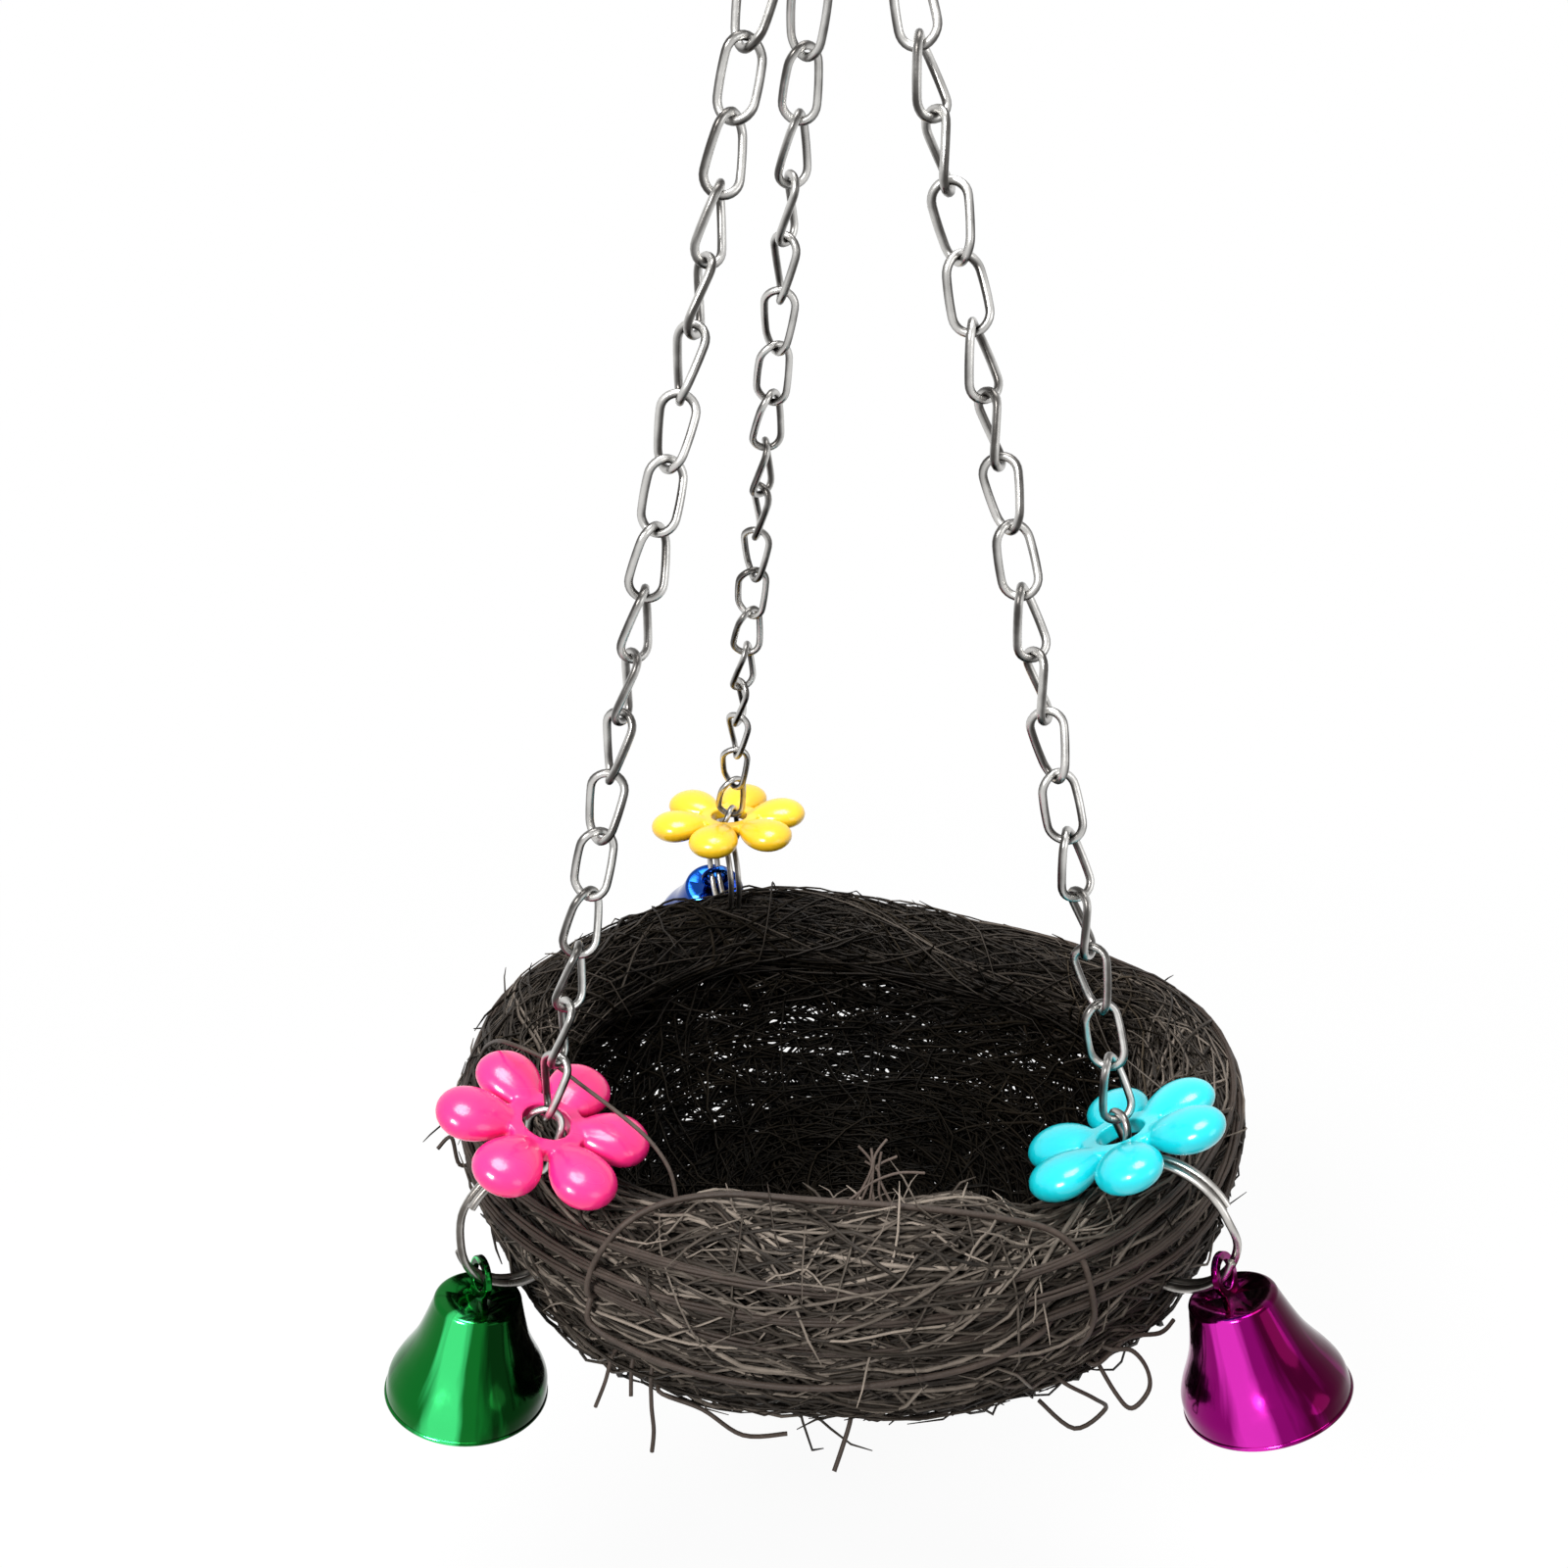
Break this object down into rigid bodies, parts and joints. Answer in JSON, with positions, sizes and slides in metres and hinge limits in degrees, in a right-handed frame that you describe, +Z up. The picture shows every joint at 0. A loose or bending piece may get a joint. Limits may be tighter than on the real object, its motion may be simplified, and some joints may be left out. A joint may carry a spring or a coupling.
{
  "type": "hanging bird nest swing",
  "caption": "Round fibre nest with a thick rolled rim, hung on twisted-link chains from a ring and quick link, with flower beads and bells at the rim for a pet bird.",
  "frame": {"origin": "point on the inner side of the quick link's upper bend, where it bears on the hook or bar that it hangs from", "axes": "+Z up, along the line of pull; -Y towards the front, where the left (-X) and right (+X) chains come down; the third chain comes down at the back"},
  "size_m": [0.1783, 0.1991, 0.3496],
  "materials": {
    "steel": "nickel-plated steel wire, bright",
    "chain_steel": "plated steel chain, bright with dark recesses",
    "fibre": "dark brown plant fibre, matt, with loose ends",
    "fine_fibre": "finer brown plant fibre, matt",
    "dark_fibre": "near-black brown strand, slightly glossy",
    "flower_pink": "glossy hot pink plastic",
    "flower_turquoise": "glossy turquoise plastic",
    "flower_yellow": "glossy yellow plastic",
    "bell_green": "green mirror-bright coloured metal",
    "bell_purple": "purple mirror-bright coloured metal",
    "bell_blue": "blue mirror-bright coloured metal",
    "brass": "plain brass"
  },
  "bodies": {
    "hanger": {"quick_link": "steel"},
    "sleeve_nut": {"quick_nut": "steel"},
    "gathering_ring": {"top_ring": "steel"},
    "nest_swing": {"chain_left_01": "chain_steel", "chain_left_02": "chain_steel", "chain_left_03": "chain_steel", "chain_left_04": "chain_steel", "chain_left_05": "chain_steel", "chain_left_06": "chain_steel", "chain_left_07": "chain_steel", "chain_left_08": "chain_steel", "chain_left_09": "chain_steel", "chain_left_10": "chain_steel", "chain_left_11": "chain_steel", "chain_right_01": "chain_steel", "chain_right_02": "chain_steel", "chain_right_03": "chain_steel", "chain_right_04": "chain_steel", "chain_right_05": "chain_steel", "chain_right_06": "chain_steel", "chain_right_07": "chain_steel", "chain_right_08": "chain_steel", "chain_right_09": "chain_steel", "chain_right_10": "chain_steel", "chain_right_11": "chain_steel", "chain_back_01": "chain_steel", "chain_back_02": "chain_steel", "chain_back_03": "chain_steel", "chain_back_04": "chain_steel", "chain_back_05": "chain_steel", "chain_back_06": "chain_steel", "chain_back_07": "chain_steel", "chain_back_08": "chain_steel", "chain_back_09": "chain_steel", "chain_back_10": "chain_steel", "chain_back_11": "chain_steel", "split_ring_left": "steel", "split_ring_right": "steel", "split_ring_back": "steel", "nest_bowl": "fibre", "nest_lining": "fine_fibre", "nest_rim": "fibre", "rim_strand": "dark_fibre"},
    "flower_bead_left": {"flower_left": "flower_pink"},
    "hung_bell_left": {"bell_left": "bell_green", "bell_ear_left": "bell_green"},
    "bell_clapper_left": {"clapper_left": "brass"},
    "flower_bead_right": {"flower_right": "flower_turquoise"},
    "hung_bell_right": {"bell_right": "bell_purple", "bell_ear_right": "bell_purple"},
    "bell_clapper_right": {"clapper_right": "brass"},
    "flower_bead_back": {"flower_back": "flower_yellow"},
    "hung_bell_back": {"bell_back": "bell_blue", "bell_ear_back": "bell_blue"},
    "bell_clapper_back": {"clapper_back": "brass"}
  },
  "joints": [
    {"name": "nut_travel", "type": "slide", "parent": "hanger", "child": "sleeve_nut", "axis": [0, 0, 1], "range_m": [0, 0.0062]},
    {"name": "ring_swing", "type": "hinge", "parent": "hanger", "child": "gathering_ring", "pos_m": [0, 0, -0.0343], "axis": [0, 1, 0], "range_deg": [-25, 25]},
    {"name": "nest_sway", "type": "hinge", "parent": "gathering_ring", "child": "nest_swing", "pos_m": [0, 0, -0.0484], "axis": [1, 0, 0], "range_deg": [-18, 18]},
    {"name": "flower_spin_left", "type": "hinge", "parent": "nest_swing", "child": "flower_bead_left", "pos_m": [-0.05395, -0.04512, -0.26663], "axis": [0.3696, -0.0053, 0.9292], "continuous": true},
    {"name": "bell_swing_left", "type": "hinge", "parent": "nest_swing", "child": "hung_bell_left", "pos_m": [-0.06667, -0.05472, -0.2937], "axis": [-0.8213, -0.5209, 0.2327], "range_deg": [-35, 35]},
    {"name": "clapper_swing_left", "type": "hinge", "parent": "hung_bell_left", "child": "bell_clapper_left", "pos_m": [-0.06791, -0.05585, -0.30061], "axis": [-0.8213, -0.5209, 0.2327], "range_deg": [-20, 20]},
    {"name": "flower_spin_right", "type": "hinge", "parent": "nest_swing", "child": "flower_bead_right", "pos_m": [0.05239, -0.04837, -0.26806], "axis": [-0.4045, 0.3344, 0.8512], "continuous": true},
    {"name": "bell_swing_right", "type": "hinge", "parent": "nest_swing", "child": "hung_bell_right", "pos_m": [0.06954, -0.06185, -0.28803], "axis": [0.7332, -0.5122, 0.4472], "range_deg": [-35, 35]},
    {"name": "clapper_swing_right", "type": "hinge", "parent": "hung_bell_right", "child": "bell_clapper_right", "pos_m": [0.07197, -0.06392, -0.29438], "axis": [0.7332, -0.5122, 0.4472], "range_deg": [-20, 20]},
    {"name": "flower_spin_back", "type": "hinge", "parent": "nest_swing", "child": "flower_bead_back", "pos_m": [-0.02342, 0.07498, -0.264], "axis": [0, 0.0471, 0.9989], "continuous": true},
    {"name": "bell_swing_back", "type": "hinge", "parent": "nest_swing", "child": "hung_bell_back", "pos_m": [-0.02838, 0.09178, -0.29015], "axis": [-0.2366, 0.8794, 0.413], "range_deg": [-35, 35]},
    {"name": "clapper_swing_back", "type": "hinge", "parent": "hung_bell_back", "child": "bell_clapper_back", "pos_m": [-0.02924, 0.09459, -0.29662], "axis": [-0.2366, 0.8794, 0.413], "range_deg": [-20, 20]}
  ]
}
